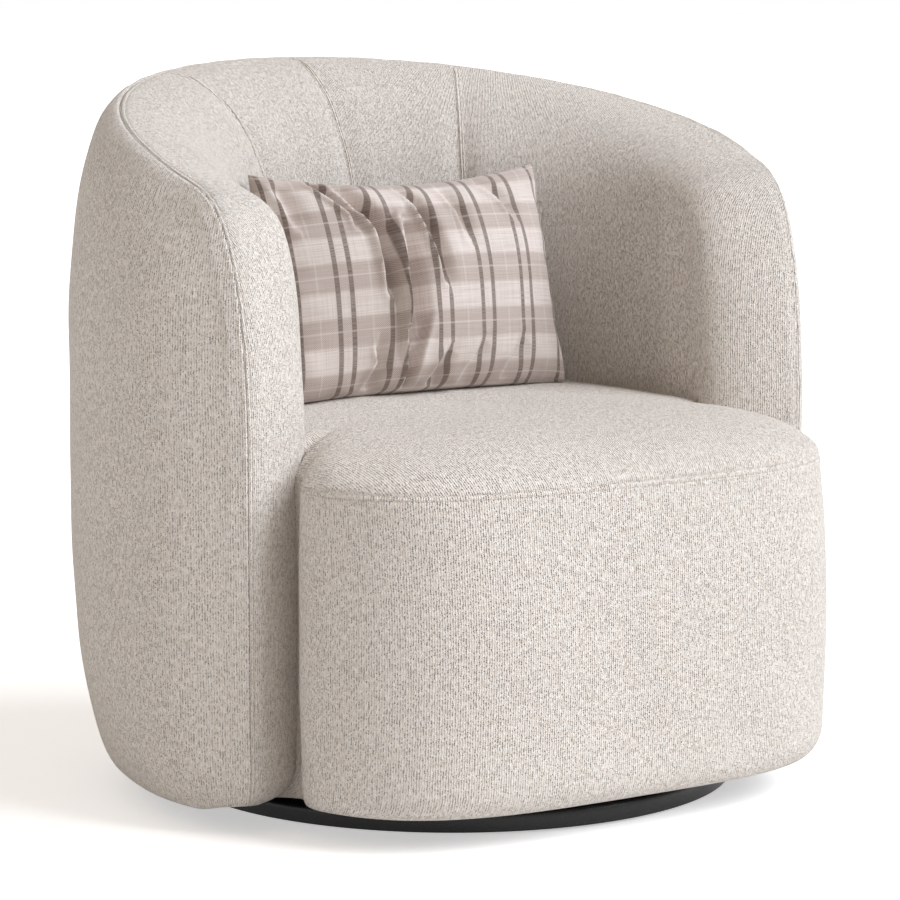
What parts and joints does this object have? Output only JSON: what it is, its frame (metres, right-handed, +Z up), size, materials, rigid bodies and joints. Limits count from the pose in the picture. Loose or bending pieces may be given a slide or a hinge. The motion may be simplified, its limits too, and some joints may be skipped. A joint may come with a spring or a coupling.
{
  "type": "swivel armchair",
  "caption": "Swivel tub armchair: a curved upholstered wall forms the back and arms round a deep drum seat, on a flat round base, with a loose lumbar pillow.",
  "frame": {"origin": "on the swivel axis at floor level, in the middle of the ring that the chair stands on", "axes": "+Z up, the chair faces -Y, +X to the right of someone looking at the chair's front from behind it"},
  "size_m": [0.8132, 0.7198, 0.735],
  "materials": {
    "black_steel": "satin black powder coat",
    "fibreboard": "bare fibreboard",
    "rubber": "matt",
    "zinc_steel": "zinc plated",
    "nylon": "matt",
    "bearing_steel": "polished",
    "plywood": "bare",
    "dust_cloth": "non-woven",
    "webbing": "elastic weave",
    "wadding": "fibre fill",
    "foam": "open cell",
    "linen": "warm off-white slub weave",
    "plaid": "woven plaid in rosy beige and taupe"
  },
  "bodies": {
    "base": {"base_pan": "black_steel", "base_core": "fibreboard", "floor_ring": "rubber", "base_screws": "zinc_steel", "swivel_lower_plate": "zinc_steel", "lower_plate_bolts": "zinc_steel", "pivot_rivet": "zinc_steel", "pivot_washer": "nylon"},
    "chair": {"swivel_upper_plate": "zinc_steel", "upper_plate_bolts": "zinc_steel", "tee_nuts": "zinc_steel", "bottom_deck": "plywood", "tack_strip": "plywood", "dust_cover": "dust_cloth", "seat_side_rails": "plywood", "seat_back_rail": "plywood", "seat_fascia": "plywood", "corner_blocks": "plywood", "webbing_lengthwise": "webbing", "webbing_crosswise": "webbing", "frame_screws": "zinc_steel", "wall_bottom_rail": "plywood", "wall_ribs": "plywood", "arm_posts": "plywood", "wall_top_rail": "plywood", "outer_liner": "fibreboard", "inner_liner": "fibreboard", "outer_wadding": "wadding", "inner_foam": "foam", "outer_cover": "linen", "left_arm_panel": "linen", "left_back_panel": "linen", "right_back_panel": "linen", "right_arm_panel": "linen", "seat_foam": "foam", "seat_apron_foam": "foam", "seat_top_cover": "linen", "seat_border_cover": "linen"},
    "ball_cage": {"ball_cage": "nylon", "bearing_balls": "bearing_steel"},
    "pillow": {"pillow_front_cover": "plaid", "pillow_back_cover": "plaid", "pillow_insert": "wadding"}
  },
  "joints": [
    {"name": "swivel", "type": "hinge", "parent": "base", "child": "chair", "pos_m": [0, 0, 0.03], "axis": [0, 0, 1], "continuous": true},
    {"name": "cage_turn", "type": "hinge", "parent": "base", "child": "ball_cage", "pos_m": [0, 0, 0.03], "axis": [0, 0, 1], "continuous": true},
    {"name": "pillow_lift", "type": "slide", "parent": "chair", "child": "pillow", "axis": [0, 0, 1], "range_m": [0, 0.4]}
  ],
  "couplings": [
    {"joint": "cage_turn", "follows": "swivel", "ratio": 0.5}
  ]
}
